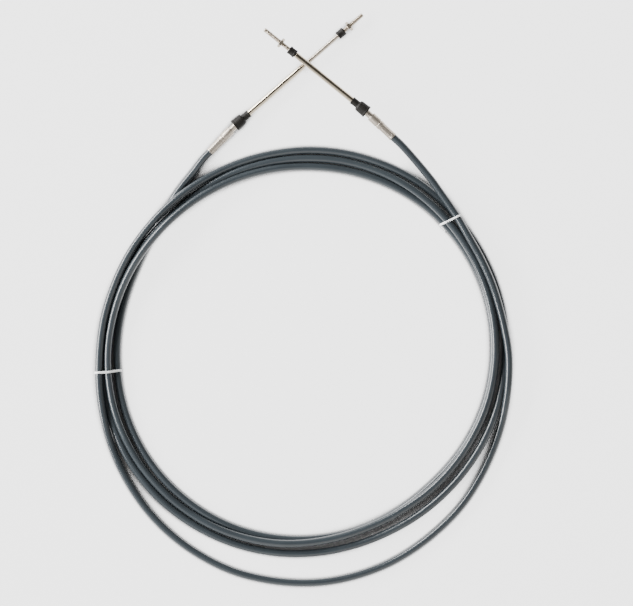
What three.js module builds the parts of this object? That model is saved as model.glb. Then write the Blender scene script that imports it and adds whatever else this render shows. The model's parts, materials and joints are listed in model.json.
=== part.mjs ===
// Boat control cable, a push-pull cable coiled for storage.
// A stiff jacketed conduit lies in nearly four loose turns, bound by two ties.
// Each end has a metal hub, a boot, a swivelling sleeve and a sliding threaded rod.
// Millimetres, +Z up. The cable lies flat on the floor plane z = 0.

import * as THREE from 'three';

// Conduit
const JACKET_DIA = 8.0;
const CONDUIT_SIDES = 10;
const GAP = 0.3;

// Coil, about its own centre
const COIL_CENTRE_X = 2.1;
const COIL_CENTRE_Y = -56.2;
const COIL_BORE_DIA = 388.8;
const COIL_TURNS_ABREAST = 3;
const COIL_SEGMENTS = 64;
const LOBE_SIDES = 4;
const CREASE_DEG = 18;

// Ties round the bundle
const TIE_THICKNESS = 0.8;
const LEFT_TIE_ANGLE = 185.4;
const LEFT_TIE_WIDTH = 3.0;
const RIGHT_TIE_ANGLE = 42.7;
const RIGHT_TIE_WIDTH = 2.0;
const RIGHT_TIE_SKEW = -17;

// Hub, from its swivel centre back to the crimped end
const HUB_DIA = 9.8;
const HUB_BALL_DIA = 9.2;
const HUB_NECK_DIA = 7.0;
const HUB_SHOULDER_AT = 11.0;
const HUB_BODY_LENGTH = 11.2;
const HUB_CRIMP_LENGTH = 20.8;
const HUB_END_DIA = 8.8;
const HUB_LINE_DEPTH = 0.4;
const HUB_LINE_WIDTH = 0.8;
const HUB_CHAMFER = 0.6;

// Sleeve and boot, from the swivel centre forwards
const SLEEVE_DIA = 6.35;
const SLEEVE_REACH = 91.6;
const BOOT_BACK = 5.0;
const BOOT_BODY_LENGTH = 12.2;
const BOOT_NECK_LENGTH = 7.0;
const BOOT_BACK_DIA = 13.4;
const BOOT_FRONT_DIA = 12.2;
const BOOT_NECK_DIA = 8.2;
const BOOT_LIP = 0.8;
const BOOT_WALL = 1.2;

// Rod, nut and rod seal
const ROD_DIA = 4.76;
const ROD_LENGTH = 112;
const ROD_CHAMFER = 0.7;
// How far each rod stands out of its sleeve
const ROD_A_OUT = 83.1;
const ROD_B_OUT = 42.7;
const NUT_ACROSS_FLATS = 9.53;
const NUT_THICKNESS = 3.2;
const NUT_A_FROM_TIP = 19.0;
const SEAL_DIA = 8.4;
const SEAL_LENGTH = 8.8;
const SEAL_ROUND = 0.9;
// Clear rod between each seal and its nut
const SEAL_A_TO_NUT = 5.4;
const SEAL_B_TO_NUT = 9.1;

// Where each end lies: swivel centre, and the headings of hub and sleeve in degrees
const END_A = { x: -69.2, y: 187.5, hub: 46.0, sleeve: 41.0 };
const END_B = { x: 63.3, y: 201.5, hub: 136.8, sleeve: 141.2 };
const END_B_TILT = 1.6;

// Straight run of conduit behind each hub, before its route bends
const STRAIGHT_A = 12;
const STRAIGHT_B = 16;

const ROUND_SIDES = 24;
const SMALL_SIDES = 20;
const BALL_STEPS = 8;
const TIE_BEND_STEPS = 6;

const conduitR = JACKET_DIA / 2;
const bootR = BOOT_BACK_DIA / 2;
const rodR = ROD_DIA / 2;
const sleeveR = SLEEVE_DIA / 2;
const sleeveBoreR = rodR + GAP;
const ballR = HUB_BALL_DIA / 2;

// The bundle lies on its ties, and the last turn lies on the bundle
const lobeZ = TIE_THICKNESS + GAP + conduitR;
const topZ = lobeZ + JACKET_DIA + GAP;
const lobeR = (i) => COIL_BORE_DIA / 2 + conduitR + i * JACKET_DIA;
const outerLobeR = lobeR(COIL_TURNS_ABREAST - 1);
const floorZ = conduitR + 0.05;
const endAZ = bootR + 0.3;
const hubEndAt = HUB_SHOULDER_AT + HUB_BODY_LENGTH + HUB_CRIMP_LENGTH;
const endBTilt = THREE.MathUtils.degToRad(END_B_TILT);
const endBZ = topZ + (hubEndAt + GAP) * Math.sin(endBTilt);

const metal = (name, color, roughness) =>
  new THREE.MeshStandardMaterial({ name, color, roughness, metalness: 1 });
const polymer = (name, color, roughness) =>
  new THREE.MeshStandardMaterial({ name, color, roughness, metalness: 0 });
const jacketBlueGrey = polymer('jacket_blue_grey', 0x4c565c, 0.35);
const hubPlated = metal('hub_plated', 0xb9b0a6, 0.3);
const sleeveStainless = metal('sleeve_stainless', 0xc8c0b4, 0.22);
const rodStainless = metal('rod_stainless', 0xb8afa2, 0.25);
const nutStainless = metal('nut_stainless', 0xc4bcb0, 0.3);
const bootRubber = polymer('boot_rubber', 0x1d1c1a, 0.55);
const tieWhite = polymer('tie_white', 0xe9ebea, 0.5);

// A turned solid from a closed outline of [radius, place along the axis], axis on +X
function turned(outline, sides) {
  const points = outline.map(([r, at]) => new THREE.Vector2(r, at));
  const closed = outline[0][0] !== 0;
  if (closed) points.push(points[0].clone());
  const solid = new THREE.LatheGeometry(points, sides);
  solid.rotateZ(-Math.PI / 2);
  return solid;
}

function named(name, geometry, material) {
  const mesh = new THREE.Mesh(geometry, material);
  mesh.name = name;
  return mesh;
}

// Coil: the turns that lie side by side, one solid with a lobe for each turn
function coilSolid() {
  const arc = (cx, from, to) => {
    const points = [];
    for (let i = 0; i <= LOBE_SIDES; i += 1) {
      const a = from + ((to - from) * i) / LOBE_SIDES;
      points.push(new THREE.Vector2(cx + conduitR * Math.cos(a), conduitR * Math.sin(a)));
    }
    return points;
  };
  const crease = THREE.MathUtils.degToRad(CREASE_DEG);
  const outline = [];
  for (let i = 0; i < COIL_TURNS_ABREAST; i += 1) {
    const last = i === COIL_TURNS_ABREAST - 1;
    const from = i === 0 ? -Math.PI / 2 : -Math.PI + crease;
    const to = last ? 0 : -crease;
    outline.push(...arc(lobeR(i), from, to));
  }
  for (let i = COIL_TURNS_ABREAST - 1; i >= 0; i -= 1) {
    const last = i === COIL_TURNS_ABREAST - 1;
    const from = last ? 0 : crease;
    const to = i === 0 ? Math.PI : Math.PI - crease;
    outline.push(...arc(lobeR(i), from, to).slice(last ? 1 : 0));
  }
  outline.push(...arc(lobeR(0), Math.PI, 1.5 * Math.PI).slice(1, -1));
  outline.push(outline[0].clone());
  const ring = new THREE.LatheGeometry(outline, COIL_SEGMENTS);
  ring.rotateX(Math.PI / 2);
  return ring;
}

// Conduit along a route of points, as an extruded round section
function conduitSolid(points, steps) {
  const section = new THREE.Shape();
  for (let i = 0; i < CONDUIT_SIDES; i += 1) {
    const a = (2 * Math.PI * i) / CONDUIT_SIDES;
    const x = conduitR * Math.cos(a);
    const y = conduitR * Math.sin(a);
    if (i === 0) section.moveTo(x, y);
    else section.lineTo(x, y);
  }
  section.closePath();
  const extrudePath = new THREE.CatmullRomCurve3(points, false, 'centripetal');
  return new THREE.ExtrudeGeometry(section, { steps, extrudePath, bevelEnabled: false });
}

// A place on the coil: degrees round from +X, radius and height
const onCoil = (degrees, radius, z) => {
  const a = THREE.MathUtils.degToRad(degrees);
  return new THREE.Vector3(
    COIL_CENTRE_X + radius * Math.cos(a), COIL_CENTRE_Y + radius * Math.sin(a), z);
};

// Hub: swivel ball, clamp groove, body and crimped skirt in one turned piece
function hubSolid() {
  const neckR = HUB_NECK_DIA / 2;
  const bodyR = HUB_DIA / 2;
  const lineAt = HUB_SHOULDER_AT + HUB_BODY_LENGTH;
  const neckAt = Math.sqrt(ballR ** 2 - neckR ** 2);
  const outline = [[0, ballR]];
  const neckTurn = Math.PI - Math.asin(neckR / ballR);
  for (let i = 1; i <= BALL_STEPS; i += 1) {
    const a = (neckTurn * i) / BALL_STEPS;
    outline.push([ballR * Math.sin(a), ballR * Math.cos(a)]);
  }
  outline[BALL_STEPS] = [neckR, -neckAt];
  outline.push([neckR, -HUB_SHOULDER_AT]);
  outline.push([bodyR - HUB_CHAMFER, -HUB_SHOULDER_AT]);
  outline.push([bodyR, -HUB_SHOULDER_AT - HUB_CHAMFER]);
  outline.push([bodyR, -lineAt + HUB_LINE_WIDTH / 2]);
  outline.push([bodyR - HUB_LINE_DEPTH, -lineAt]);
  outline.push([bodyR, -lineAt - HUB_LINE_WIDTH / 2]);
  outline.push([bodyR - HUB_LINE_DEPTH, -lineAt - HUB_CRIMP_LENGTH / 3]);
  outline.push([HUB_END_DIA / 2, -hubEndAt]);
  outline.push([0, -hubEndAt]);
  return turned(outline.reverse(), ROUND_SIDES);
}

// Boot: a narrow neck round the sleeve and a wide skirt round the swivel ball
function bootSolid() {
  const front = -BOOT_BACK + BOOT_BODY_LENGTH;
  const neckBoreR = sleeveR + GAP;
  const cavityR = ballR + GAP;
  return turned([
    [cavityR, -BOOT_BACK],
    [BOOT_BACK_DIA / 2 - BOOT_LIP, -BOOT_BACK],
    [BOOT_BACK_DIA / 2, -BOOT_BACK + BOOT_LIP],
    [BOOT_FRONT_DIA / 2, front - BOOT_LIP],
    [BOOT_FRONT_DIA / 2 - BOOT_LIP, front],
    [BOOT_NECK_DIA / 2, front],
    [BOOT_NECK_DIA / 2, front + BOOT_NECK_LENGTH - BOOT_LIP / 2],
    [BOOT_NECK_DIA / 2 - BOOT_LIP / 2, front + BOOT_NECK_LENGTH],
    [neckBoreR, front + BOOT_NECK_LENGTH],
    [neckBoreR, front - BOOT_WALL],
    [cavityR, front - 2 * BOOT_WALL],
  ], ROUND_SIDES);
}

// Sleeve: a tube that starts just clear of the ball
function sleeveSolid() {
  const back = Math.sqrt((ballR + GAP) ** 2 - sleeveBoreR ** 2);
  return turned([
    [sleeveBoreR, back],
    [sleeveR, back],
    [sleeveR, SLEEVE_REACH],
    [sleeveBoreR, SLEEVE_REACH],
  ], SMALL_SIDES);
}

function rodSolid() {
  return turned([
    [0, -ROD_LENGTH],
    [rodR, -ROD_LENGTH],
    [rodR, -ROD_CHAMFER],
    [rodR - ROD_CHAMFER, 0],
    [0, 0],
  ], SMALL_SIDES);
}

// Jam nut: a hexagon with its bore, centred on its own thickness
function nutSolid() {
  const hexagon = new THREE.Shape();
  const cornerR = NUT_ACROSS_FLATS / Math.sqrt(3);
  for (let i = 0; i < 6; i += 1) {
    const a = (Math.PI / 3) * i + Math.PI / 6;
    const x = cornerR * Math.cos(a);
    const y = cornerR * Math.sin(a);
    if (i === 0) hexagon.moveTo(x, y);
    else hexagon.lineTo(x, y);
  }
  hexagon.closePath();
  const bore = new THREE.Path();
  bore.absarc(0, 0, rodR + GAP, 0, 2 * Math.PI, true);
  hexagon.holes.push(bore);
  const nut = new THREE.ExtrudeGeometry(hexagon, {
    depth: NUT_THICKNESS, bevelEnabled: false, curveSegments: ROUND_SIDES / 2,
  });
  nut.translate(0, 0, -NUT_THICKNESS / 2);
  nut.rotateY(Math.PI / 2);
  return nut;
}

// Rod seal: a short rubber collar on the rod
function sealSolid() {
  const half = SEAL_LENGTH / 2;
  const boreR = rodR + GAP;
  const r = SEAL_DIA / 2;
  return turned([
    [boreR, -half],
    [r - SEAL_ROUND, -half],
    [r, -half + SEAL_ROUND],
    [r, half - SEAL_ROUND],
    [r - SEAL_ROUND, half],
    [boreR, half],
  ], ROUND_SIDES);
}

// One end fitting: hub, boot and sleeve, and the rod with its nut and seal
function endFitting(letter, end, z, tilt, rodReach, nutFromTip, sealFromTip) {
  const fitting = new THREE.Group();
  const turnTo = (group, heading) => {
    group.position.set(end.x, end.y, z);
    group.rotation.set(0, -tilt, THREE.MathUtils.degToRad(heading), 'ZYX');
    return group;
  };
  const fixed = turnTo(new THREE.Group(), end.hub);
  fixed.add(named(`hub_${letter}`, hubSolid(), hubPlated));
  const swivel = turnTo(new THREE.Group(), end.sleeve);
  swivel.add(named(`boot_${letter}`, bootSolid(), bootRubber));
  swivel.add(named(`sleeve_${letter}`, sleeveSolid(), sleeveStainless));
  const rod = named(`rod_${letter}`, rodSolid(), rodStainless);
  rod.position.x = rodReach;
  const nut = named(`jam_nut_${letter}`, nutSolid(), nutStainless);
  nut.position.x = rodReach - nutFromTip;
  const seal = named(`rod_seal_${letter}`, sealSolid(), bootRubber);
  seal.position.x = rodReach - sealFromTip;
  swivel.add(rod, nut, seal);
  fitting.add(fixed, swivel);
  return fitting;
}

// Tie: a band round the bundle and the turn on top of it, in the plane across the bundle
function tieSolid(width, skew, topRadius, topHeight) {
  const slant = Math.abs(THREE.MathUtils.degToRad(skew));
  const stretch = 1 / Math.cos(slant);
  const slack = (width / 2) * Math.tan(slant);
  const middle = (lobeR(0) + outerLobeR) / 2;
  const across = (radius) => (radius - middle) * stretch;
  const corners = [
    [across(lobeR(0)), lobeZ],
    [across(outerLobeR), lobeZ],
    [across(topRadius), topHeight],
  ];
  const loop = (offset) => {
    const points = [];
    corners.forEach((corner, i) => {
      const before = corners[(i + 2) % 3];
      const after = corners[(i + 1) % 3];
      const from = Math.atan2(corner[1] - before[1], corner[0] - before[0]) - Math.PI / 2;
      let to = Math.atan2(after[1] - corner[1], after[0] - corner[0]) - Math.PI / 2;
      if (to < from) to += 2 * Math.PI;
      for (let k = 0; k <= TIE_BEND_STEPS; k += 1) {
        const a = from + ((to - from) * k) / TIE_BEND_STEPS;
        const x = corner[0] + (offset * stretch + slack) * Math.cos(a);
        points.push(new THREE.Vector2(x, corner[1] + offset * Math.sin(a)));
      }
    });
    return points;
  };
  const band = new THREE.Shape(loop(conduitR + GAP + TIE_THICKNESS));
  band.holes.push(new THREE.Path(loop(conduitR + GAP).reverse()));
  const strap = new THREE.ExtrudeGeometry(band, { depth: width, bevelEnabled: false });
  strap.translate(0, 0, -width / 2);
  strap.rotateX(Math.PI / 2);
  return strap;
}

function placeTie(mesh, angle, skew) {
  const a = THREE.MathUtils.degToRad(angle);
  const middle = (lobeR(0) + outerLobeR) / 2;
  mesh.position.set(
    COIL_CENTRE_X + middle * Math.cos(a), COIL_CENTRE_Y + middle * Math.sin(a), 0);
  mesh.rotation.z = THREE.MathUtils.degToRad(angle + skew);
  return mesh;
}

// The point behind a hub where its conduit starts, and one farther back on the hub's line
function behindHub(end, z, tilt, back) {
  const heading = THREE.MathUtils.degToRad(end.hub);
  const run = back * Math.cos(tilt);
  return new THREE.Vector3(
    end.x - run * Math.cos(heading), end.y - run * Math.sin(heading), z - back * Math.sin(tilt));
}

// Conduit from hub A down to the side of the bundle, which it goes under
const leadARoute = [
  behindHub(END_A, endAZ, 0, hubEndAt + GAP),
  behindHub(END_A, endAZ - 0.4, 0, hubEndAt + STRAIGHT_A),
  onCoil(119.6, 227.6, 5.8),
  onCoil(123.2, 222.7, 5.1),
];

// Last turn: over the bundle on the left, out in a wide loop at the bottom,
// back up over the bundle on the right, and off to hub B
const leftTieTurn = [218.9, topZ - 0.6];
const rightTieTurn = [215.6, topZ];
const lastTurnRoute = [
  onCoil(133, 215.4, topZ),
  onCoil(144, 214.6, topZ),
  onCoil(156, 215.6, topZ),
  onCoil(168, 217.2, topZ),
  onCoil(180, 218.6, topZ),
  onCoil(LEFT_TIE_ANGLE, ...leftTieTurn),
  onCoil(193, 222.6, topZ - 3.0),
  onCoil(201, 226.4, topZ - 5.6),
  onCoil(210, 230.4, topZ - 7.9),
  onCoil(222, 235.4, floorZ + 0.3),
  onCoil(234, 239.6, floorZ),
  onCoil(246, 242.4, floorZ),
  onCoil(258, 243.7, floorZ),
  onCoil(270, 243.5, floorZ),
  onCoil(282, 242.1, floorZ),
  onCoil(294, 238.9, floorZ),
  onCoil(306, 234.2, floorZ + 0.2),
  onCoil(316, 229.6, floorZ + 1.8),
  onCoil(326, 225.8, topZ - 5.0),
  onCoil(335, 222.4, topZ - 1.6),
  onCoil(344, 219.2, topZ),
  onCoil(354, 216.2, topZ),
  onCoil(364, 212.4, topZ),
  onCoil(374, 210.2, topZ),
  onCoil(384, 210.0, topZ),
  onCoil(394, 211.2, topZ),
  onCoil(360 + RIGHT_TIE_ANGLE, ...rightTieTurn),
  onCoil(410, 221.8, topZ),
  onCoil(417, 229.4, topZ),
  behindHub(END_B, endBZ, endBTilt, hubEndAt + STRAIGHT_B),
  behindHub(END_B, endBZ, endBTilt, hubEndAt + GAP),
];

const cable = new THREE.Group();
const coil = named('coil', coilSolid(), jacketBlueGrey);
coil.position.set(COIL_CENTRE_X, COIL_CENTRE_Y, lobeZ);
cable.add(coil);
cable.add(named('lead_a', conduitSolid(leadARoute, 5), jacketBlueGrey));
cable.add(named('last_turn', conduitSolid(lastTurnRoute, 74), jacketBlueGrey));
cable.add(placeTie(
  named('tie_left', tieSolid(LEFT_TIE_WIDTH, 0, ...leftTieTurn), tieWhite), LEFT_TIE_ANGLE, 0));
cable.add(placeTie(
  named('tie_right', tieSolid(RIGHT_TIE_WIDTH, RIGHT_TIE_SKEW, ...rightTieTurn), tieWhite),
  RIGHT_TIE_ANGLE, RIGHT_TIE_SKEW));
// Seal B shuts the mouth of its sleeve, and nut B sits on from it; on rod A both go by the tip
const sealAFromTip = NUT_A_FROM_TIP + NUT_THICKNESS / 2 + SEAL_A_TO_NUT + SEAL_LENGTH / 2;
const sealBFromTip = ROD_B_OUT - GAP - SEAL_LENGTH / 2;
const nutBFromTip = sealBFromTip - SEAL_LENGTH / 2 - SEAL_B_TO_NUT - NUT_THICKNESS / 2;
const rodAReach = SLEEVE_REACH + ROD_A_OUT;
const rodBReach = SLEEVE_REACH + ROD_B_OUT;
cable.add(endFitting('a', END_A, endAZ, 0, rodAReach, NUT_A_FROM_TIP, sealAFromTip));
cable.add(endFitting('b', END_B, endBZ, endBTilt, rodBReach, nutBFromTip, sealBFromTip));

export default cable;
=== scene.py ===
# Boat control cable: a push-pull cable coiled for storage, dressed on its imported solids.
# Metres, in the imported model's own frame: +Z up from the floor that the cable lies on.

import json
import math

import bpy
import numpy as np
from mathutils import Matrix, Vector


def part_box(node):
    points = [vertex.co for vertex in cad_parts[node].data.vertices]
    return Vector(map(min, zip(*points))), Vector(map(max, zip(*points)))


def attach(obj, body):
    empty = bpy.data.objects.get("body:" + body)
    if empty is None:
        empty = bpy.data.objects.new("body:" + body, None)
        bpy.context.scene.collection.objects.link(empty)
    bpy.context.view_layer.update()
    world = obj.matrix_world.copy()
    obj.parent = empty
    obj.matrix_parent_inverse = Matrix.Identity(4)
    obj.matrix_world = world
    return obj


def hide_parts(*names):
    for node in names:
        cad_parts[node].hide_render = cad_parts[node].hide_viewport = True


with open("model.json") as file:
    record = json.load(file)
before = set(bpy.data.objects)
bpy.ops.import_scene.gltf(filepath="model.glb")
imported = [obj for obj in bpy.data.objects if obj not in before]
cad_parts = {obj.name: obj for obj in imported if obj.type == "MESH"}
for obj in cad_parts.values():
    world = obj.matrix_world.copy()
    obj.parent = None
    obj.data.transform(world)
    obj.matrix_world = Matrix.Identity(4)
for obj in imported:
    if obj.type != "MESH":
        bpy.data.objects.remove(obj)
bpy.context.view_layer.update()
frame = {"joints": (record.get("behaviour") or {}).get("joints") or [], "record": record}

# Camera
# It hangs high above the coil and looks straight down, so the turns keep their true circle.
# The width of its view comes from the cable's real size.
VIEW_WIDTH = 0.671
CAMERA_HEIGHT = 4.0
VIEW_CENTRE = (0.0138, -0.0032)
camera_data = bpy.data.cameras.new("camera")
camera_data.sensor_width = 36.0
camera_data.lens = camera_data.sensor_width * CAMERA_HEIGHT / VIEW_WIDTH
camera_data.clip_end = 20.0
camera = bpy.data.objects.new("camera", camera_data)
camera.location = (*VIEW_CENTRE, CAMERA_HEIGHT)
bpy.context.scene.collection.objects.link(camera)
bpy.context.scene.camera = camera

# Conduit
# One long push-pull conduit: a liner and long-lay steel wires under a smooth extruded jacket.
# It leaves hub A, goes under the bundle, lies in nearly four turns and ends in hub B.
JACKET_DIAMETER = 0.008
COIL_CENTRE = (0.0021, -0.0562)
INTO_HUB = 0.003
HUB_END = 0.043
STRAIGHT_TO_A = 0.054
STRAIGHT_TO_B = 0.057
ROUTE_STEP = 4
RING_SPACING = 0.003
JACKET_SIDES = 22
JACKET_BLUE_GREY = (0.026, 0.032, 0.037, 1)
JACKET_PALER = (0.034, 0.042, 0.048, 1)

# The route: degrees round the coil, radius and height, turn by turn from hub A
LEAD_AND_FIRST_TURN = [
    (122, 0.2252, 0.0041), (127, 0.2194, 0.0041), (132, 0.2140, 0.0041), (137, 0.2088, 0.0041),
    (142, 0.2049, 0.0041), (148, 0.2017, 0.0041), (156, 0.1996, 0.0041), (166, 0.1991, 0.0042),
    (180, 0.1995, 0.0046), (200, 0.2005, 0.0043), (215, 0.2009, 0.0041), (235, 0.2004, 0.0041),
    (250, 0.1995, 0.0041), (262, 0.1982, 0.0040), (272, 0.1970, 0.0040), (282, 0.1958, 0.0040),
    (292, 0.1945, 0.0040), (302, 0.1933, 0.0040), (312, 0.1928, 0.0040), (322, 0.1938, 0.0040),
    (332, 0.1953, 0.0041), (345, 0.1973, 0.0041), (360, 0.1991, 0.0041), (378, 0.2007, 0.0041),
    (395, 0.2011, 0.0046), (408, 0.2008, 0.0046), (422, 0.1994, 0.0041), (436, 0.1981, 0.0041),
]
SECOND_TURN = [
    (90, 0.1973, 0.0043), (100, 0.1977, 0.0063), (110, 0.1982, 0.0084), (120, 0.1988, 0.0112),
    (130, 0.1997, 0.0156), (140, 0.2010, 0.0191), (145, 0.2020, 0.0191), (150, 0.2032, 0.0177),
    (160, 0.2053, 0.0136),
    (170, 0.2072, 0.0108), (180, 0.2091, 0.0102), (190, 0.2101, 0.0099), (200, 0.2108, 0.0089),
    (212, 0.2108, 0.0066), (222, 0.2103, 0.0047), (232, 0.2092, 0.0047), (242, 0.2076, 0.0072),
    (252, 0.2054, 0.0094), (262, 0.2030, 0.0107), (272, 0.2000, 0.0115), (282, 0.1973, 0.0119),
    (292, 0.1954, 0.0119), (302, 0.1949, 0.0118), (312, 0.1958, 0.0116), (322, 0.1966, 0.0116),
    (332, 0.1975, 0.0117), (342, 0.1990, 0.0117), (352, 0.2002, 0.0118), (362, 0.2011, 0.0118),
    (372, 0.2022, 0.0118), (382, 0.2032, 0.0117), (392, 0.2042, 0.0117), (402, 0.2053, 0.0115),
    (412, 0.2065, 0.0101), (422, 0.2073, 0.0068), (432, 0.2072, 0.0044),
]
THIRD_TURN = [
    (90, 0.2060, 0.0041), (100, 0.2055, 0.0041), (110, 0.2051, 0.0041), (120, 0.2046, 0.0042),
    (130, 0.2039, 0.0070), (140, 0.2046, 0.0120), (145, 0.2056, 0.0120), (150, 0.2068, 0.0102),
    (160, 0.2097, 0.0054),
    (170, 0.2126, 0.0043), (180, 0.2148, 0.0046), (190, 0.2162, 0.0047), (200, 0.2174, 0.0043),
    (212, 0.2185, 0.0041), (222, 0.2186, 0.0041), (234, 0.2175, 0.0041), (250, 0.2155, 0.0041),
    (262, 0.2137, 0.0043), (274, 0.2116, 0.0055), (286, 0.2096, 0.0075), (298, 0.2086, 0.0090),
    (312, 0.2088, 0.0096), (325, 0.2094, 0.0096), (340, 0.2105, 0.0093), (350, 0.2110, 0.0079),
    (360, 0.2119, 0.0058), (370, 0.2132, 0.0046), (380, 0.2138, 0.0044), (395, 0.2145, 0.0046),
    (408, 0.2161, 0.0046), (418, 0.2166, 0.0043), (430, 0.2161, 0.0041), (440, 0.2156, 0.0041),
]
LAST_TURN = [
    (90, 0.2148, 0.0041), (100, 0.2138, 0.0041), (110, 0.2132, 0.0041), (120, 0.2127, 0.0066),
    (130, 0.2126, 0.0121), (140, 0.2128, 0.0150), (150, 0.2136, 0.0150), (160, 0.2145, 0.0132),
    (170, 0.2162, 0.0117), (180, 0.2178, 0.0119), (189, 0.2207, 0.0113), (198, 0.2242, 0.0088),
    (207, 0.2284, 0.0052), (217, 0.2327, 0.0041), (228, 0.2373, 0.0041), (240, 0.2409, 0.0041),
    (255, 0.2437, 0.0041), (270, 0.2436, 0.0040), (288, 0.2406, 0.0040), (306, 0.2344, 0.0040),
    (316, 0.2310, 0.0041), (324, 0.2272, 0.0041), (333, 0.2234, 0.0046), (340, 0.2208, 0.0070),
    (350, 0.2173, 0.0131), (360, 0.2147, 0.0137), (368, 0.2118, 0.0132), (376, 0.2104, 0.0142),
    (384, 0.2103, 0.0158), (394, 0.2113, 0.0157), (402.7, 0.2160, 0.0139), (409, 0.2208, 0.0129),
    (415.5, 0.2282, 0.0129),
]

joints = {joint["name"]: joint for joint in frame["joints"]}
mounts = {mount["name"]: mount for mount in frame["record"]["mounts"]}


def hub_line(end, back):
    """A point on a hub's axis, so far behind the centre of its swivel ball."""
    pivot = Vector(joints[f"swivel_{end}"]["pos_m"])
    return pivot - back * Vector(mounts[f"clamp_shoulder_{end}"]["axis"]).normalized()


def on_coil(degrees, radius, height):
    turn = math.radians(degrees)
    x = COIL_CENTRE[0] + radius * math.cos(turn)
    return Vector((x, COIL_CENTRE[1] + radius * math.sin(turn), height))


def round_the_coil(turns, step):
    """The route between the given points, in small steps of angle. Its radius and height pass
    through every point and never overshoot between two."""
    given = np.array([(degrees + 360 * turn, radius, height)
                      for turn, points in enumerate(turns) for degrees, radius, height in points])
    angles = np.arange(given[0, 0], given[-1, 0], step)
    wide = np.diff(given[:, 0])
    place = np.clip(np.searchsorted(given[:, 0], angles, side="right") - 1, 0, len(wide) - 1)
    u = (angles - given[place, 0]) / wide[place]
    columns = []
    for values in given[:, 1:].T:
        rise = np.diff(values) / wide
        before, after = rise[:-1], rise[1:]
        level = before * after <= 0
        slope = np.where(level, 0, 2 * before * after / np.where(level, 1, before + after))
        slope = np.concatenate([rise[:1], slope, rise[-1:]])
        near = values[place] * (1 + 2 * u) + slope[place] * wide[place] * u
        far = values[place + 1] * (3 - 2 * u) - slope[place + 1] * wide[place] * (1 - u)
        columns.append(near * (1 - u) ** 2 + far * u ** 2)
    return [np.array(on_coil(*point)) for point in zip(angles, *columns)]


def smooth_route(points, spacing):
    """A centripetal Catmull-Rom curve through the points, as points an even distance apart."""
    knots = np.array([2 * points[0] - points[1], *points, 2 * points[-1] - points[-2]])
    fine = []
    for a, b, c, d in zip(knots, knots[1:], knots[2:], knots[3:]):
        ta = 0.0
        tb = ta + math.sqrt(np.linalg.norm(b - a))
        tc = tb + math.sqrt(np.linalg.norm(c - b))
        td = tc + math.sqrt(np.linalg.norm(d - c))
        t = np.linspace(tb, tc, 24, endpoint=False)[:, None]
        ab = (tb - t) / (tb - ta) * a + (t - ta) / (tb - ta) * b
        bc = (tc - t) / (tc - tb) * b + (t - tb) / (tc - tb) * c
        cd = (td - t) / (td - tc) * c + (t - tc) / (td - tc) * d
        abc = (tc - t) / (tc - ta) * ab + (t - ta) / (tc - ta) * bc
        bcd = (td - t) / (td - tb) * bc + (t - tb) / (td - tb) * cd
        fine.append((tc - t) / (tc - tb) * abc + (t - tb) / (tc - tb) * bcd)
    line = np.vstack([*fine, knots[-2:-1]])
    along = np.concatenate([[0], np.cumsum(np.linalg.norm(np.diff(line, axis=0), axis=1))])
    even = np.linspace(0, along[-1], round(along[-1] / spacing) + 1)
    return np.stack([np.interp(even, along, line[:, k]) for k in range(3)], axis=1)


def ring_faces(count, sides, closed=False):
    """The faces between one ring of points and the next, and from the last to the first if closed."""
    return [
        (i * sides + k, i * sides + (k + 1) % sides,
         (i + 1) % count * sides + (k + 1) % sides, (i + 1) % count * sides + k)
        for i in range(count if closed else count - 1) for k in range(sides)
    ]


def swept(name, path, section, overhead=(0, 0, 1)):
    """A section of (across, up) points carried along a path, with closed ends.
    Its lay attribute holds (across, up, along), so that a pattern can follow the piece."""
    path = np.asarray(path, float)
    ahead = np.gradient(path, axis=0)
    ahead /= np.linalg.norm(ahead, axis=1)[:, None]
    across = np.cross(np.array(overhead, float), ahead)
    across /= np.linalg.norm(across, axis=1)[:, None]
    up = np.cross(ahead, across)
    section = np.asarray(section, float)
    rings = path[:, None] + across[:, None] * section[None, :, :1] + up[:, None] * section[None, :, 1:]
    count, sides = rings.shape[:2]
    faces = ring_faces(count, sides)
    faces.append(tuple(range(sides))[::-1])
    faces.append(tuple((count - 1) * sides + k for k in range(sides)))
    mesh = bpy.data.meshes.new(name)
    mesh.from_pydata(rings.reshape(-1, 3).tolist(), [], faces)
    along = np.concatenate([[0], np.cumsum(np.linalg.norm(np.diff(path, axis=0), axis=1))])
    lay = np.zeros((count, sides, 3), np.float32)
    lay[:, :, :2] = section
    lay[:, :, 2] = along[:, None]
    mesh.attributes.new("lay", "FLOAT_VECTOR", "POINT").data.foreach_set("vector", lay.ravel())
    mesh.update()
    return made_piece(name, mesh)


def made_piece(name, mesh, sharp_degrees=40):
    """An object of the mesh, shaded smooth but for edges sharper than that."""
    mesh.shade_smooth()
    mesh.set_sharp_from_angle(angle=math.radians(sharp_degrees))
    thing = bpy.data.objects.new(name, mesh)
    bpy.context.scene.collection.objects.link(thing)
    return thing


class Wire:
    """A socket of a node tree that Python's arithmetic works on: each operator adds its node."""

    def __init__(self, tree, socket):
        self.tree = tree
        self.socket = socket

    def maths(self, operation, *values):
        return self.tree.node("ShaderNodeMath", {"operation": operation}, dict(enumerate(values)))

    def __add__(self, other):
        return self.maths("ADD", self, other)

    __radd__ = __add__

    def __sub__(self, other):
        return self.maths("SUBTRACT", self, other)

    def __rsub__(self, other):
        return self.maths("SUBTRACT", other, self)

    def __mul__(self, other):
        return self.maths("MULTIPLY", self, other)

    __rmul__ = __mul__

    def __truediv__(self, other):
        return self.maths("DIVIDE", self, other)

    def __pow__(self, other):
        return self.maths("POWER", self, other)

    def __abs__(self):
        return self.maths("ABSOLUTE", self)

    def ramp(self, low, high):
        """0 below low, 1 above high and smooth between, for a mask."""
        step = {"interpolation_type": "SMOOTHSTEP"}
        return self.tree.node("ShaderNodeMapRange", step, {0: self, 1: low, 2: high})


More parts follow.
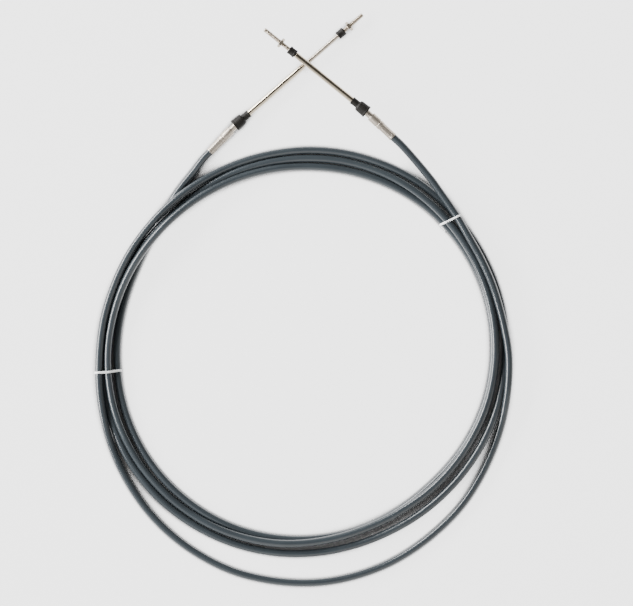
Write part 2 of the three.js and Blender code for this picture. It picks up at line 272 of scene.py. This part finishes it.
class Tree:
    """A node tree, with one way to add a node: its type, its settings, and what its sockets get."""

    def __init__(self, nodes):
        self.nodes = nodes

    def node(self, kind, settings=None, sockets=None, out=0):
        made = self.nodes.nodes.new(kind)
        for name, value in (settings or {}).items():
            setattr(made, name, value)
        for name, value in (sockets or {}).items():
            if isinstance(value, Wire):
                self.nodes.links.new(value.socket, made.inputs[name])
            else:
                made.inputs[name].default_value = value
        return Wire(self, made.outputs[out])


class Finish(Tree):
    """A material: its shader takes plain numbers and what the pattern nodes make."""

    def __init__(self, name):
        self.material = bpy.data.materials.new(name)
        self.material.use_nodes = True
        super().__init__(self.material.node_tree)
        self.shader = self.nodes.nodes["Principled BSDF"]

    def place(self):
        return self.node("ShaderNodeTexCoord", out="Object")

    def noise(self, where, scale, detail=2.0, roughness=0.5):
        sockets = {"Vector": where, "Scale": scale, "Detail": detail, "Roughness": roughness}
        return self.node("ShaderNodeTexNoise", {}, sockets)

    def scaled(self, where, amounts):
        return self.node("ShaderNodeVectorMath", {"operation": "MULTIPLY"}, {0: where, 1: amounts})

    def blend(self, mask, first, second):
        sockets = {"Factor": mask, "A": first, "B": second}
        mix = self.nodes.nodes.new("ShaderNodeMix")
        mix.data_type = "RGBA"
        for label, value in sockets.items():
            socket = next(s for s in mix.inputs if s.name == label and s.enabled)
            if isinstance(value, Wire):
                self.nodes.links.new(value.socket, socket)
            else:
                socket.default_value = value
        return Wire(self, next(s for s in mix.outputs if s.enabled))

    def bump(self, height, distance, strength=1.0):
        sockets = {"Height": height, "Distance": distance, "Strength": strength}
        return self.node("ShaderNodeBump", {}, sockets)

    def shade(self, **sockets):
        """Sets the shader's sockets, named in small letters with _ for a space."""
        names = {socket.name.lower().replace(" ", "_"): socket for socket in self.shader.inputs}
        for name, value in sockets.items():
            if isinstance(value, Wire):
                self.nodes.links.new(value.socket, names[name])
            else:
                names[name].default_value = value
        return self.material


def seated(piece, body, slot, material, *nodes):
    """The piece rides on its body, takes its finish, and stands for its CAD nodes. The slot is not
    used.
    """
    piece.data.materials.clear()
    piece.data.materials.append(material)
    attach(piece, body)
    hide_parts(*nodes)
    return piece


jacket = Finish("jacket_blue_grey")
lay = jacket.node("ShaderNodeAttribute", {"attribute_name": "lay"}, out="Vector")
streaks = jacket.noise(jacket.scaled(lay, (1400, 1400, 9)), 1.0, 3.0)
patches = jacket.noise(jacket.place(), 22.0, 3.0)
grain = jacket.noise(jacket.place(), 2600.0, 2.0)
wear = (streaks * 0.5 + patches * 0.5).ramp(0.35, 0.65)
jacket.shade(
    base_color=jacket.blend(wear, JACKET_BLUE_GREY, JACKET_PALER),
    roughness=0.18 + 0.08 * patches + 0.06 * streaks,
    specular_ior_level=0.6,
    normal=jacket.bump(streaks * 0.6 + grain * 0.4, 0.00002, 0.25),
)

route_points = [np.array(hub_line("a", back)) for back in (HUB_END - INTO_HUB, STRAIGHT_TO_A)]
route_points += round_the_coil([LEAD_AND_FIRST_TURN, SECOND_TURN, THIRD_TURN, LAST_TURN], ROUTE_STEP)
route_points += [np.array(hub_line("b", back)) for back in (STRAIGHT_TO_B, HUB_END - INTO_HUB)]
conduit_path = smooth_route(route_points, RING_SPACING)
conduit_path[:, 2] = np.maximum(conduit_path[:, 2], JACKET_DIAMETER / 2)
jacket_section = [
    (JACKET_DIAMETER / 2 * math.cos(2 * math.pi * k / JACKET_SIDES),
     JACKET_DIAMETER / 2 * math.sin(2 * math.pi * k / JACKET_SIDES))
    for k in range(JACKET_SIDES)
]
conduit = swept("conduit", conduit_path, jacket_section)
seated(conduit, "cable", "jacket", jacket.material, "coil", "lead_a", "last_turn")

# Ties
# Two white plastic-covered wire ties bind the bundle. Each is a thin flat ribbon with the
# wire as a ridge down its middle, drawn tight and twisted into a short tail at its ends.
TIE_THICKNESS = 0.0006
TIE_RIDGE = 0.0004
TIE_SLACK = 0.00015
TAIL_WIRE_RADIUS = 0.00055
TAIL_TURNS = 2.5
LEFT_TIE = {
    "degrees": 185.4, "skew": 0, "width": 0.0024, "radius": 0.2104, "sway": 0.0003,
    "tail": ((-0.0015, 0.001, 0.0022), (-0.0008, -0.009, 0.0016)),
}
RIGHT_TIE = {
    "degrees": 42.7, "skew": -17, "width": 0.0021, "radius": 0.2065, "sway": 0.0,
    "tail": ((-0.0101, 0.0006, 0.0014), (-0.0075, -0.0085, 0.0013)),
}
TIE_WHITE = (0.92, 0.93, 0.93, 1)

tie_finish = Finish("tie_white")
tie_grain = tie_finish.noise(tie_finish.place(), 900.0, 2.0)
tie_finish.shade(
    base_color=tie_finish.blend(tie_grain, TIE_WHITE, (0.84, 0.85, 0.85, 1)),
    roughness=0.35 + 0.15 * tie_grain,
    normal=tie_finish.bump(tie_grain, 0.00003, 0.6),
)


def strands_across(middle, across, ahead, reach=0.03):
    """Where the conduit passes through the tie's own plane: how far across, and how high."""
    offsets = conduit_path - np.array(middle)
    ahead_of = offsets @ np.array(ahead)
    over = offsets @ np.array(across)
    found = []
    for k in np.nonzero(np.sign(ahead_of[1:]) != np.sign(ahead_of[:-1]))[0]:
        share = ahead_of[k] / (ahead_of[k] - ahead_of[k + 1])
        point = (over[k] + share * (over[k + 1] - over[k]), conduit_path[k, 2])
        if abs(point[0]) < reach:
            found.append(point)
    return found


def tight_loop(circles, radius, stretch):
    """The closed line drawn tight round circles of that radius, as points and outward normals."""
    turn = np.linspace(0, 2 * math.pi, 48, endpoint=False)
    rim = np.stack([radius * stretch * np.cos(turn), radius * np.sin(turn)], 1)
    points = sorted(map(tuple, np.vstack([np.array(centre) + rim for centre in circles])))

    def left_of(a, b, p):
        return (b[0] - a[0]) * (p[1] - a[1]) - (b[1] - a[1]) * (p[0] - a[0])

    def half(row):
        chain = []
        for p in row:
            while len(chain) > 1 and left_of(chain[-2], chain[-1], p) <= 0:
                chain.pop()
            chain.append(p)
        return chain[:-1]

    corners = np.array(half(points) + half(points[::-1]))
    closed = np.vstack([corners, corners[:1]])
    along = np.concatenate([[0], np.cumsum(np.linalg.norm(np.diff(closed, axis=0), axis=1))])
    even = np.linspace(0, along[-1], 120, endpoint=False)
    line = np.stack([np.interp(even, along, closed[:, k]) for k in range(2)], 1)
    run = np.roll(line, -1, 0) - np.roll(line, 1, 0)
    outward = np.stack([run[:, 1], -run[:, 0]], 1)
    return line, outward / np.linalg.norm(outward, axis=1)[:, None]


def tie(name, node, facts):
    """A ribbon round the bundle, and its two ends twisted together into a tail."""
    heading = math.radians(facts["degrees"] + facts["skew"])
    middle = on_coil(facts["degrees"], facts["radius"], 0)
    across = np.array((math.cos(heading), math.sin(heading), 0))
    ahead = np.array((-math.sin(heading), math.cos(heading), 0))
    strands = strands_across(middle, across, ahead)
    stretch = 1 / math.cos(math.radians(facts["skew"]))
    line, outward = tight_loop(strands, JACKET_DIAMETER / 2 + TIE_SLACK, stretch)
    half = facts["width"] / 2
    ridge = 1 + TIE_RIDGE / TIE_THICKNESS
    rising = [(-half, 0), (-half, 0.6), (-0.8 * half, 1), (-0.25 * half, 1), (-0.12 * half, ridge)]
    profile = rising + [(-side, out) for side, out in rising[::-1]]
    wave = facts["sway"] * np.sin(np.linspace(0, 6 * math.pi, len(line), endpoint=False))
    points = []
    for (c, z), (nc, nz), sway in zip(line, outward, wave):
        for side, out in profile:
            lift = out * TIE_THICKNESS
            place = np.array(middle) + across * (c + nc * lift) + ahead * (side + sway)
            place[2] = max(z + nz * lift, 0.0001)
            points.append(place)
    faces = [face[::-1] for face in ring_faces(len(line), len(profile), closed=True)]
    ribbon = bpy.data.meshes.new(name)
    ribbon.from_pydata([tuple(p) for p in points], [], faces)
    piece = made_piece(name, ribbon)

    start, stop = (
        np.array(middle) + across * x + ahead * y + np.array((0, 0, z)) for x, y, z in facts["tail"]
    )
    run = (stop - start) / np.linalg.norm(stop - start)
    side = np.cross(run, (0.3, 0.2, 1.0))
    side /= np.linalg.norm(side)
    lift = np.cross(side, run)
    steps = np.linspace(0, 1, 60)
    tails = []
    for phase in (0, math.pi):
        turn = phase + steps * 2 * math.pi * TAIL_TURNS
        spread = TAIL_WIRE_RADIUS + 0.0004 * steps ** 4
        helix = start + np.outer(steps, stop - start)
        helix = helix + np.outer(spread * np.cos(turn), side) + np.outer(spread * np.sin(turn), lift)
        rim = [
            (TAIL_WIRE_RADIUS * math.cos(a), TAIL_WIRE_RADIUS * math.sin(a))
            for a in np.linspace(0, 2 * math.pi, 10, endpoint=False)
        ]
        tails.append(swept(name + "_tail", helix, rim, overhead=side + 0.5 * lift))
    join = bpy.context.temp_override(active_object=piece, selected_editable_objects=[piece, *tails])
    with join:
        bpy.ops.object.join()
    return seated(piece, "cable", "tie", tie_finish.material, node)


tie("tie_left_ribbon", "tie_left", LEFT_TIE)
tie("tie_right_ribbon", "tie_right", RIGHT_TIE)

# Hubs
# Each hub is turned from stainless bar: swivel ball, neck with the clamp groove, body with a
# sizing line, and a skirt that is pressed flat on eight sides to grip the conduit.
HUB_BODY_RADIUS = 0.0049
HUB_BALL_RADIUS = 0.0046
HUB_NECK_RADIUS = 0.0035
SHOULDER_AT = 0.011
LINE_AT = 0.0222
CRIMP_END_RADIUS = 0.0044
CRIMP_FLATS = 8
CRIMP_APOTHEM = 0.00425
CRIMP_FROM = 0.0264
CRIMP_TO = 0.0396
CRIMP_BEVEL = 0.0007
HUB_STEEL = (0.55, 0.49, 0.42, 1)
HUB_STEEL_DULL = (0.44, 0.39, 0.33, 1)


def rounded(outline, radius, steps=4):
    """The same outline with each inner corner turned on a small radius, as a lathe tool leaves it."""
    result = [outline[0]]
    for before, corner, after in zip(outline, outline[1:], outline[2:]):
        a, b, c = (np.array(p, float) for p in (before, corner, after))
        back = (a - b) / np.linalg.norm(a - b)
        on = (c - b) / np.linalg.norm(c - b)
        reach = min(radius, 0.45 * np.linalg.norm(a - b), 0.45 * np.linalg.norm(c - b))
        for t in np.linspace(0, 1, steps + 1):
            p = (1 - t) ** 2 * (b + back * reach) + 2 * t * (1 - t) * b + t ** 2 * (b + on * reach)
            result.append(tuple(p))
    return result + [outline[-1]]


def turned(outline, sides):
    """A solid of revolution about X from (radius, along) points, closed on the axis or on itself."""
    points = []
    faces = []
    rows = []
    on_axis = outline[0][0] < 1e-7
    spokes = [(math.cos(turn), math.sin(turn)) for turn in np.linspace(0, 2 * math.pi, sides + 1)[:-1]]
    for radius, along in outline:
        if radius < 1e-7:
            rows.append([len(points)] * sides)
            points.append((along, 0, 0))
        else:
            rows.append(list(range(len(points), len(points) + sides)))
            points += [(along, radius * c, radius * s) for c, s in spokes]
    pairs = list(zip(rows, rows[1:]))
    if not on_axis:
        pairs.append((rows[-1], rows[0]))
    for one, two in pairs:
        for k in range(sides):
            corners = [one[k], two[k], two[(k + 1) % sides], one[(k + 1) % sides]]
            kept = [c for i, c in enumerate(corners) if c not in corners[:i]]
            if len(kept) > 2:
                faces.append(kept)
    return points, faces


def placed(name, shape, origin, axis, sharp_degrees=40):
    """The shape with its X axis laid along axis from origin, as a piece."""
    mesh = bpy.data.meshes.new(name)
    mesh.from_pydata(shape[0], [], shape[1])
    ahead = Vector(axis).normalized()
    left = Vector((0, 0, 1)).cross(ahead).normalized()
    turn = Matrix((ahead, left, ahead.cross(left))).transposed().to_4x4()
    turn.translation = Vector(origin)
    mesh.transform(turn)
    mesh.update()
    return made_piece(name, mesh, sharp_degrees)


def steel(name, bright, dull, roughness, brushing):
    """Stainless with a fine grain and a little staining."""
    metal = Finish(name)
    fine = metal.noise(metal.place(), brushing, 3.0, 0.6)
    stains = metal.noise(metal.place(), 180.0, 2.0)
    metal.shade(
        base_color=metal.blend((0.5 * fine + 0.5 * stains).ramp(0.4, 0.62), bright, dull),
        metallic=1.0,
        roughness=roughness + 0.10 * fine + 0.06 * stains,
        normal=metal.bump(fine, 0.00002, 0.35),
    )
    return metal.material


def crimped(shape):
    """The turned hub with its skirt pressed flat on all sides, as the crimping dies leave it."""
    points, faces = shape
    side = 2 * math.pi / CRIMP_FLATS
    pressed = []
    for along, y, z in points:
        from_flat = (math.atan2(z, y) + side / 2) % side - side / 2
        radius = math.hypot(y, z)
        flat = CRIMP_APOTHEM / math.cos(from_flat)
        inside = -CRIMP_TO <= along <= -CRIMP_FROM and radius > flat
        share = flat / radius if inside else 1.0
        pressed.append((along, y * share, z * share))
    return pressed, faces


hub_finish = steel("hub_steel", HUB_STEEL, HUB_STEEL_DULL, 0.36, 1500.0)
SKIRT_BACK = (LINE_AT + 0.0020, HUB_END - 0.0022)
SKIRT_RADIUS = (HUB_BODY_RADIUS - 0.0001, CRIMP_END_RADIUS)
crimp_rows = (CRIMP_FROM - CRIMP_BEVEL, CRIMP_FROM, CRIMP_TO, CRIMP_TO + CRIMP_BEVEL)
hub_outline = [(0.0, HUB_BALL_RADIUS)]
hub_outline += [
    (HUB_BALL_RADIUS * math.sin(a), HUB_BALL_RADIUS * math.cos(a)) for a in np.linspace(0.12, 2.25, 14)
]
hub_outline += rounded([
    (HUB_NECK_RADIUS, -0.0031),
    (HUB_NECK_RADIUS, -SHOULDER_AT),
    (HUB_BODY_RADIUS, -SHOULDER_AT),
    (HUB_BODY_RADIUS, -LINE_AT + 0.0008),
    (HUB_BODY_RADIUS - 0.0006, -LINE_AT + 0.0005),
    (HUB_BODY_RADIUS - 0.0006, -LINE_AT - 0.0003),
    (HUB_BODY_RADIUS, -LINE_AT - 0.0006),
    (HUB_BODY_RADIUS - 0.0001, -LINE_AT - 0.0020),
    *((float(np.interp(back, SKIRT_BACK, SKIRT_RADIUS)), -back) for back in crimp_rows),
    (CRIMP_END_RADIUS, -HUB_END + 0.0022),
    (CRIMP_END_RADIUS + 0.0002, -HUB_END + 0.0014),
    (CRIMP_END_RADIUS + 0.0002, -HUB_END),
    (JACKET_DIAMETER / 2 + 0.0001, -HUB_END),
    (JACKET_DIAMETER / 2 + 0.0001, -HUB_END + INTO_HUB),
    (0.0, -HUB_END + INTO_HUB),
], 0.00035)
for end in "ab":
    axis = mounts[f"clamp_shoulder_{end}"]["axis"]
    hub = placed(f"hub_{end}_crimped", crimped(turned(hub_outline[::-1], 48)), hub_line(end, 0), axis)
    seated(hub, "cable", "hub", hub_finish, f"hub_{end}")

# Boots
# A black rubber boot keeps spray out of each swivel: a tight collar on the sleeve, and a
# skirt that widens back over the ball, with a rolled lip.
BOOT_BACK = 0.0050
BOOT_FRONT = 0.0072
BOOT_COLLAR_END = 0.0154
SLEEVE_RADIUS = 0.003175
BOOT_BLACK = (0.007, 0.006, 0.005, 1)
BOOT_DUSTY = (0.013, 0.012, 0.010, 1)


def rubber(name, dark, dusty):
    moulded = Finish(name)
    skin = moulded.noise(moulded.place(), 1800.0, 3.0, 0.6)
    dust = moulded.noise(moulded.place(), 260.0, 3.0)
    moulded.shade(
        base_color=moulded.blend(dust.ramp(0.45, 0.75), dark, dusty),
        roughness=0.46 + 0.20 * dust,
        specular_ior_level=0.22,
        normal=moulded.bump(skin, 0.00006, 0.7),
    )
    return moulded.material


boot_finish = rubber("boot_rubber", BOOT_BLACK, BOOT_DUSTY)
boot_outline = [
    (0.0049, -BOOT_BACK + 0.0010),
    (0.0058, -BOOT_BACK),
    (0.0067, -BOOT_BACK),
    (0.0067, -BOOT_BACK + 0.0017),
    (0.00645, -BOOT_BACK + 0.0022),
    (0.0061, BOOT_FRONT - 0.0016),
    (0.0053, BOOT_FRONT),
    (0.0042, BOOT_FRONT),
    (0.00395, BOOT_FRONT + 0.0008),
    (0.00395, BOOT_COLLAR_END - 0.0018),
    (0.00425, BOOT_COLLAR_END - 0.0014),
    (0.00425, BOOT_COLLAR_END),
    (SLEEVE_RADIUS, BOOT_COLLAR_END),
    (SLEEVE_RADIUS, BOOT_FRONT - 0.0012),
    (0.0049, BOOT_FRONT - 0.0024),
    (0.0049, -BOOT_BACK + 0.0010),
]


def swivel_line(end, ahead):
    """A point on a sleeve's axis, so far ahead of the centre of its swivel ball."""
    pivot = Vector(joints[f"swivel_{end}"]["pos_m"])
    return pivot + ahead * Vector(joints[f"rod_slide_{end}"]["axis"]).normalized()


for end in "ab":
    axis = joints[f"rod_slide_{end}"]["axis"]
    shape = turned(rounded(boot_outline, 0.0005)[:-1], 48)
    boot = placed(f"boot_{end}_rubber", shape, swivel_line(end, 0), axis)
    seated(boot, f"sleeve_end_{end}", "boot", boot_finish, f"boot_{end}")

# Sleeves
# Each sleeve is a drawn stainless tube with polished skin, swaged on to the swivel's socket
# behind the boot. Its front edge is turned in a little.
SLEEVE_REACH = 0.0916
SLEEVE_BORE = 0.00268
SLEEVE_BRIGHT = (0.64, 0.56, 0.44, 1)
SLEEVE_DULL = (0.54, 0.47, 0.37, 1)
sleeve_finish = steel("sleeve_steel", SLEEVE_BRIGHT, SLEEVE_DULL, 0.10, 900.0)
sleeve_outline = rounded([
    (SLEEVE_BORE, 0.0042),
    (SLEEVE_RADIUS, 0.0042),
    (SLEEVE_RADIUS, SLEEVE_REACH - 0.0006),
    (SLEEVE_RADIUS - 0.0003, SLEEVE_REACH),
    (SLEEVE_BORE, SLEEVE_REACH),
    (SLEEVE_BORE, 0.0042),
], 0.00012)
for end in "ab":
    axis = joints[f"rod_slide_{end}"]["axis"]
    sleeve = placed(f"sleeve_{end}_tube", turned(sleeve_outline[:-1], 40), swivel_line(end, 0), axis)
    seated(sleeve, f"sleeve_end_{end}", "sleeve", sleeve_finish, f"sleeve_{end}")

# Rods
# The rods are fixed to the core, so one comes out as the other goes in. Each is polished
# stainless bar with a rolled 10-32 thread for a clevis, and a pointed tip.
ROD_RADIUS = 0.00238
ROD_LENGTH = 0.112
ROD_THREAD_LENGTH = 0.034
THREAD_PITCH = 0.0254 / 32
THREAD_DEPTH = 0.00048
ROD_BRIGHT = (0.52, 0.46, 0.39, 1)
ROD_DULL = (0.42, 0.37, 0.31, 1)
rod_finish = steel("rod_steel", ROD_BRIGHT, ROD_DULL, 0.30, 1200.0)


def thread_cutter():
    """Geometry nodes that roll a thread into a bar on X: its points sink between the crests."""
    nodes = bpy.data.node_groups.new("rolled_thread", "GeometryNodeTree")
    nodes.is_modifier = True
    face = nodes.interface
    face.new_socket(name="Bar", in_out="INPUT", socket_type="NodeSocketGeometry")
    sizes = ["Pitch", "Depth", "Bar Radius", "From", "To"]
    for size in sizes:
        face.new_socket(name=size, in_out="INPUT", socket_type="NodeSocketFloat")
    face.new_socket(name="Finish", in_out="INPUT", socket_type="NodeSocketMaterial")
    face.new_socket(name="Bar", in_out="OUTPUT", socket_type="NodeSocketGeometry")
    tree = Tree(nodes)
    given = nodes.nodes.new("NodeGroupInput")
    pitch, depth, bar, first, last = (Wire(tree, given.outputs[size]) for size in sizes)
    apart = nodes.nodes.new("ShaderNodeSeparateXYZ")
    nodes.links.new(nodes.nodes.new("GeometryNodeInputPosition").outputs[0], apart.inputs[0])
    x, y, z = (Wire(tree, output) for output in apart.outputs)
    turn = y.maths("ARCTAN2", z, y) / (2 * math.pi)
    helix = (x / pitch - turn).maths("FRACT", x / pitch - turn)
    groove = abs(helix * 2 - 1).ramp(0.12, 0.88)
    runs = x.ramp(first, first + pitch * 2) * (1 - x.ramp(last - pitch, last))
    radius = (y * y + z * z) ** 0.5
    skin = radius.maths("GREATER_THAN", radius, bar * 0.7)
    shrink = 1 - groove * runs * skin * depth / bar
    moved = tree.node("ShaderNodeCombineXYZ", {}, {"X": x, "Y": y * shrink, "Z": z * shrink})
    blank, finish = (Wire(tree, given.outputs[name]) for name in ("Bar", "Finish"))
    cut = tree.node("GeometryNodeSetPosition", {}, {"Geometry": blank, "Position": moved})
    real = tree.node("GeometryNodeRealizeInstances", {}, {"Geometry": cut})
    done = tree.node("GeometryNodeSetMaterial", {}, {"Geometry": real, "Material": finish})
    nodes.links.new(done.socket, nodes.nodes.new("NodeGroupOutput").inputs[0])
    return nodes


def worked(name, shape, nodes, sizes):
    """The shape after a node tree has worked on it, as plain points and faces still on X."""
    mesh = bpy.data.meshes.new(name)
    mesh.from_pydata(shape[0], [], shape[1])
    blank = bpy.data.objects.new(name, mesh)
    bpy.context.scene.collection.objects.link(blank)
    modifier = blank.modifiers.new(name, "NODES")
    modifier.node_group = nodes
    for socket in nodes.interface.items_tree:
        if socket.item_type == "SOCKET" and socket.name in sizes:
            modifier[socket.identifier] = sizes[socket.name]
    bpy.context.view_layer.update()
    result = bpy.data.meshes.new_from_object(blank.evaluated_get(bpy.context.evaluated_depsgraph_get()))
    points = [tuple(v.co) for v in result.vertices]
    faces = [tuple(p.vertices) for p in result.polygons]
    bpy.data.objects.remove(blank)
    return points, faces


RINGS_PER_PITCH = 8
thread_rings = np.arange(-0.0011, -ROD_THREAD_LENGTH - 0.002, -THREAD_PITCH / RINGS_PER_PITCH)
rod_outline = [(0.0, 0.0), (0.0012, 0.0), (0.0016, -0.0001), (0.0022, -0.0008)]
rod_outline += [(ROD_RADIUS, along) for along in thread_rings]
rod_outline += [(ROD_RADIUS, -ROD_LENGTH), (0.0, -ROD_LENGTH)]
rod_blank = turned(rod_outline[::-1], 32)
thread_sizes = {
    "Pitch": THREAD_PITCH, "Depth": THREAD_DEPTH, "Bar Radius": ROD_RADIUS,
    "From": -ROD_THREAD_LENGTH, "To": -0.0004, "Finish": rod_finish,
}
threaded_rod = worked("rod_blank", rod_blank, thread_cutter(), thread_sizes)
for end in "ab":
    axis = joints[f"rod_slide_{end}"]["axis"]
    rod = placed(f"rod_{end}_threaded", threaded_rod, mounts[f"rod_tip_{end}"]["pos_m"], axis, 60)
    seated(rod, f"rod_end_{end}", "rod", rod_finish, f"rod_{end}")

# Jam nuts
# A thin hexagon nut runs on each rod's thread and locks the clevis. Its corners are
# chamfered on both faces, and its bore is countersunk.
NUT_THICKNESS = 0.0032
NUT_APOTHEM = 0.004765
NUT_BORE = 0.00245
NUT_STEEL = (0.42, 0.37, 0.30, 1)
NUT_STEEL_DULL = (0.34, 0.30, 0.25, 1)
nut_finish = steel("nut_steel", NUT_STEEL, NUT_STEEL_DULL, 0.28, 1300.0)


def hexagon_nut(steps_per_flat=8):
    sides = 6 * steps_per_flat
    half = NUT_THICKNESS / 2
    face_radius = 0.93 * NUT_APOTHEM
    rows = []
    for direction in (-1, 1):
        bore, sink, face, rim = [], [], [], []
        for k in range(sides):
            turn = 2 * math.pi * k / sides
            from_flat = (turn + math.pi / 6) % (math.pi / 3) - math.pi / 6
            edge = NUT_APOTHEM / math.cos(from_flat)
            drop = (edge - face_radius) * math.tan(math.radians(28))
            spots = [
                (bore, NUT_BORE, half - 0.0005), (sink, NUT_BORE + 0.0005, half),
                (face, face_radius, half), (rim, edge, half - drop),
            ]
            for row, radius, along in spots:
                row.append((direction * along, radius * math.sin(turn), radius * math.cos(turn)))
        rows += [bore, sink, face, rim] if direction < 0 else [rim, face, sink, bore]
    points = [p for row in rows for p in row]
    return points, ring_faces(len(rows), sides, closed=True)


for end in "ab":
    axis = joints[f"rod_slide_{end}"]["axis"]
    face_at = Vector(mounts[f"jam_nut_face_{end}"]["pos_m"]) - Vector(mounts[f"rod_tip_{end}"]["pos_m"])
    from_tip = face_at.dot(Vector(axis).normalized()) - NUT_THICKNESS / 2
    middle = Vector(mounts[f"rod_tip_{end}"]["pos_m"]) + from_tip * Vector(axis).normalized()
    nut = placed(f"jam_nut_{end}_hexagon", hexagon_nut(), middle, axis, 20)
    seated(nut, f"rod_end_{end}", "nut", nut_finish, f"jam_nut_{end}")

# Rod seals
# A black rubber wiper seal grips each rod behind its nut. It shuts the sleeve's mouth when
# the rod is in, and its two ends stand proud as lips.
SEAL_RADIUS = 0.0045
SEAL_HALF = 0.0044
seal_outline = [
    (ROD_RADIUS, -SEAL_HALF + 0.0004),
    (0.0029, -SEAL_HALF),
    (0.0038, -SEAL_HALF),
    (SEAL_RADIUS, -SEAL_HALF + 0.0005),
    (SEAL_RADIUS, -SEAL_HALF + 0.0020),
    (SEAL_RADIUS - 0.0003, -SEAL_HALF + 0.0025),
    (SEAL_RADIUS - 0.0003, SEAL_HALF - 0.0025),
    (SEAL_RADIUS, SEAL_HALF - 0.0020),
    (SEAL_RADIUS, SEAL_HALF - 0.0005),
    (0.0037, SEAL_HALF),
    (0.0029, SEAL_HALF),
    (ROD_RADIUS, SEAL_HALF - 0.0004),
    (ROD_RADIUS, -SEAL_HALF + 0.0004),
]
for end in "ab":
    axis = joints[f"rod_slide_{end}"]["axis"]
    low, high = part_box(f"rod_seal_{end}")
    shape = turned(rounded(seal_outline, 0.0004)[:-1], 48)
    seal = placed(f"rod_seal_{end}_rubber", shape, (low + high) / 2, axis)
    seated(seal, f"rod_end_{end}", "boot", boot_finish, f"rod_seal_{end}")

# Floor and light
# A plain white table that glows evenly in a dim studio, with painted shade: ambient occlusion
# turns its glow dark in the narrow gaps between strands and in a thin line along each strand's
# edge. One long soft box stands low on the left, and a pale wall fills in from the near side.
# The ceiling is dark, and draws the line along the metal.
FLOOR_HALF = 6.0
FLOOR_GLOW = 3.0
PAINTED_SHADE_REACH = 0.016
LEFT_BOX = {"azimuth": 163, "elevation": 27, "distance": 3.0, "width": 4.6, "height": 0.95, "glow": 34}
CEILING_GLOW = 0.06
HORIZON_GLOW = 0.35
WALL_GLOW = 1.5
floor_mesh = bpy.data.meshes.new("floor")
corners = [(-1, -1), (1, -1), (1, 1), (-1, 1)]
floor_mesh.from_pydata([(x * FLOOR_HALF, y * FLOOR_HALF, 0) for x, y in corners], [], [(0, 1, 2, 3)])
floor = bpy.data.objects.new("floor", floor_mesh)
bpy.context.scene.collection.objects.link(floor)
table_top = Finish("table_white")
# Painted shade: where strands stand close, ambient occlusion fades the table's glow to black, in gaps
# and along edges.
ao_for_painted_shade = table_top.node(
    "ShaderNodeAmbientOcclusion", {"samples": 12}, {"Distance": PAINTED_SHADE_REACH}, out="AO",
)
table_top.shade(
    base_color=(0.2, 0.2, 0.2, 1),
    roughness=0.9,
    specular_ior_level=0.0,
    emission_color=table_top.blend(ao_for_painted_shade.ramp(0.42, 0.70) ** 2.5, (0, 0, 0, 1), (1, 1, 1, 1)),
    emission_strength=FLOOR_GLOW,
)
floor.data.materials.append(table_top.material)


def soft_box(name, azimuth, elevation, distance, width, height, glow):
    """An oblong light that faces the coil from that side and height."""
    light = bpy.data.lights.new(name, "AREA")
    light.shape = "RECTANGLE"
    light.size = width
    light.size_y = height
    light.energy = glow * math.pi * width * height
    lamp = bpy.data.objects.new(name, light)
    a = math.radians(azimuth)
    e = math.radians(elevation)
    towards = Vector((math.cos(a) * math.cos(e), math.sin(a) * math.cos(e), math.sin(e)))
    lamp.location = distance * towards
    lamp.rotation_euler = (-lamp.location).to_track_quat("-Z", "Y").to_euler()
    bpy.context.scene.collection.objects.link(lamp)


soft_box("left_box", **LEFT_BOX)
world = bpy.data.worlds.new("room")
bpy.context.scene.world = world
world.use_nodes = True
room = Tree(world.node_tree)
look = room.node("ShaderNodeTexCoord", out="Generated")
apart = world.node_tree.nodes.new("ShaderNodeSeparateXYZ")
world.node_tree.links.new(look.socket, apart.inputs[0])
east, north, height = (Wire(room, output) for output in apart.outputs)
wall = (east * 0.34 - north * 0.92 + height * 0.10).ramp(0.15, 0.75)
horizon = (1 - height).ramp(0.1, 0.9)
glow = CEILING_GLOW + HORIZON_GLOW * horizon + WALL_GLOW * wall
backdrop = world.node_tree.nodes["Background"]
world.node_tree.links.new(glow.socket, backdrop.inputs["Strength"])
backdrop.inputs["Color"].default_value = (1.0, 0.99, 0.97, 1)
